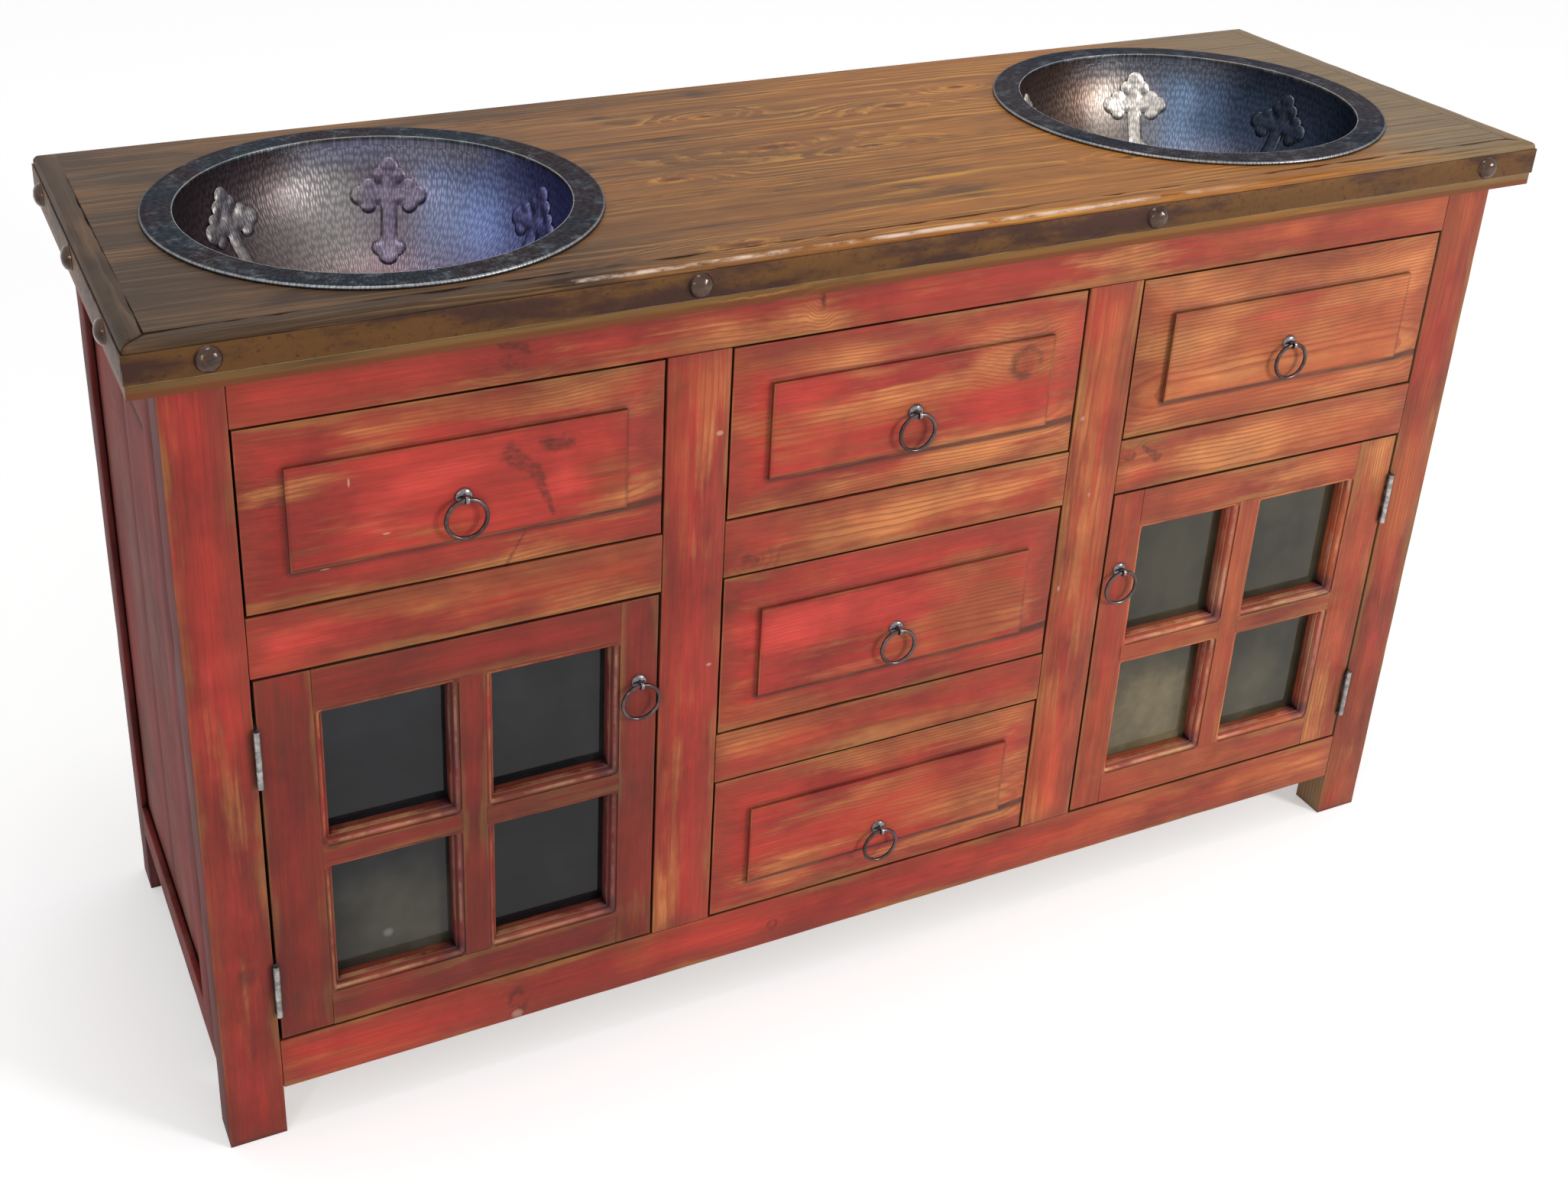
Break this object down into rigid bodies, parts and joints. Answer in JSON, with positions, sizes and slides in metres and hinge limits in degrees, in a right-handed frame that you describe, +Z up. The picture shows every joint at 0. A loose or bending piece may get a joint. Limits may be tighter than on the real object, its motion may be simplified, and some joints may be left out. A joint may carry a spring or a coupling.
{
  "type": "double-sink bathroom vanity",
  "caption": "Painted pine vanity with a strapped plank top, round hammered copper sinks, ring-pull drawers and glazed doors.",
  "frame": {"origin": "on the floor, under the middle of the part's bounding box", "axes": "+Z up, +X along the top towards the right as seen from the front, +Y from the front to the back"},
  "size_m": [1.54, 0.505, 0.912],
  "materials": {
    "red_paint": "rubbed red paint over pine",
    "bare_pine": "unfinished",
    "stained_pine": "dark stain, satin",
    "strap_iron": "bronze-brown patina",
    "nail_iron": "forged, waxed",
    "ring_iron": "forged, waxed",
    "copper": "hammered, dark patina",
    "zinc": "zinc plated",
    "glass": "clear",
    "catch_plastic": "moulded"
  },
  "bodies": {
    "cabinet": {"leg_front_left": "red_paint", "leg_front_right": "red_paint", "leg_back_left": "red_paint", "leg_back_right": "red_paint", "stile_left": "red_paint", "stile_right": "red_paint", "top_rail": "red_paint", "bottom_rail": "red_paint", "cross_rails": "red_paint", "side_frame_left": "red_paint", "side_frame_right": "red_paint", "side_panels": "red_paint", "back_rails": "bare_pine", "back_panel": "bare_pine", "floor_board": "bare_pine", "partitions": "bare_pine", "drawer_runners": "bare_pine", "top_planks": "stained_pine", "top_edging": "stained_pine", "iron_band": "strap_iron", "band_nails": "nail_iron", "sink_left": "copper", "sink_right": "copper", "bowl_crosses": "copper", "hinge_leaves": "zinc", "hinge_pins": "zinc", "door_catches": "catch_plastic"},
    "drawer_left": {"drawer_left_front": "red_paint", "drawer_left_box": "bare_pine", "drawer_left_pull": "ring_iron"},
    "ring_drawer_left": {"drawer_left_ring": "ring_iron"},
    "drawer_right": {"drawer_right_front": "red_paint", "drawer_right_box": "bare_pine", "drawer_right_pull": "ring_iron"},
    "ring_drawer_right": {"drawer_right_ring": "ring_iron"},
    "drawer_upper": {"drawer_upper_front": "red_paint", "drawer_upper_box": "bare_pine", "drawer_upper_pull": "ring_iron"},
    "ring_drawer_upper": {"drawer_upper_ring": "ring_iron"},
    "drawer_middle": {"drawer_middle_front": "red_paint", "drawer_middle_box": "bare_pine", "drawer_middle_pull": "ring_iron"},
    "ring_drawer_middle": {"drawer_middle_ring": "ring_iron"},
    "drawer_lower": {"drawer_lower_front": "red_paint", "drawer_lower_box": "bare_pine", "drawer_lower_pull": "ring_iron"},
    "ring_drawer_lower": {"drawer_lower_ring": "ring_iron"},
    "door_left": {"door_left_frame": "red_paint", "door_left_glass": "glass", "door_left_beads": "red_paint", "door_left_fittings": "zinc", "door_left_pull": "ring_iron"},
    "ring_door_left": {"door_left_ring": "ring_iron"},
    "door_right": {"door_right_frame": "red_paint", "door_right_glass": "glass", "door_right_beads": "red_paint", "door_right_fittings": "zinc", "door_right_pull": "ring_iron"},
    "ring_door_right": {"door_right_ring": "ring_iron"}
  },
  "joints": [
    {"name": "drawer_left_slide", "type": "slide", "parent": "cabinet", "child": "drawer_left", "axis": [0, -1, 0], "range_m": [0, 0.33]},
    {"name": "drawer_left_ring_swing", "type": "hinge", "parent": "drawer_left", "child": "ring_drawer_left", "pos_m": [-0.473, -0.23275, 0.7065], "axis": [-1, 0, 0], "range_deg": [0, 110]},
    {"name": "drawer_right_slide", "type": "slide", "parent": "cabinet", "child": "drawer_right", "axis": [0, -1, 0], "range_m": [0, 0.33]},
    {"name": "drawer_right_ring_swing", "type": "hinge", "parent": "drawer_right", "child": "ring_drawer_right", "pos_m": [0.473, -0.23275, 0.7065], "axis": [-1, 0, 0], "range_deg": [0, 110]},
    {"name": "drawer_upper_slide", "type": "slide", "parent": "cabinet", "child": "drawer_upper", "axis": [0, -1, 0], "range_m": [0, 0.33]},
    {"name": "drawer_upper_ring_swing", "type": "hinge", "parent": "drawer_upper", "child": "ring_drawer_upper", "pos_m": [0, -0.23275, 0.7065], "axis": [-1, 0, 0], "range_deg": [0, 110]},
    {"name": "drawer_middle_slide", "type": "slide", "parent": "cabinet", "child": "drawer_middle", "axis": [0, -1, 0], "range_m": [0, 0.33]},
    {"name": "drawer_middle_ring_swing", "type": "hinge", "parent": "drawer_middle", "child": "ring_drawer_middle", "pos_m": [0, -0.23275, 0.4525], "axis": [-1, 0, 0], "range_deg": [0, 110]},
    {"name": "drawer_lower_slide", "type": "slide", "parent": "cabinet", "child": "drawer_lower", "axis": [0, -1, 0], "range_m": [0, 0.33]},
    {"name": "drawer_lower_ring_swing", "type": "hinge", "parent": "drawer_lower", "child": "ring_drawer_lower", "pos_m": [0, -0.23275, 0.19], "axis": [-1, 0, 0], "range_deg": [0, 110]},
    {"name": "door_left_hinge", "type": "hinge", "parent": "cabinet", "child": "door_left", "pos_m": [-0.67475, -0.2204, 0.3375], "axis": [0, 0, -1], "range_deg": [0, 120]},
    {"name": "door_left_ring_swing", "type": "hinge", "parent": "door_left", "child": "ring_door_left", "pos_m": [-0.2925, -0.22425, 0.454], "axis": [-1, 0, 0], "range_deg": [0, 110]},
    {"name": "door_right_hinge", "type": "hinge", "parent": "cabinet", "child": "door_right", "pos_m": [0.67475, -0.2204, 0.3375], "axis": [0, 0, 1], "range_deg": [0, 120]},
    {"name": "door_right_ring_swing", "type": "hinge", "parent": "door_right", "child": "ring_door_right", "pos_m": [0.2925, -0.22425, 0.454], "axis": [-1, 0, 0], "range_deg": [0, 110]}
  ]
}
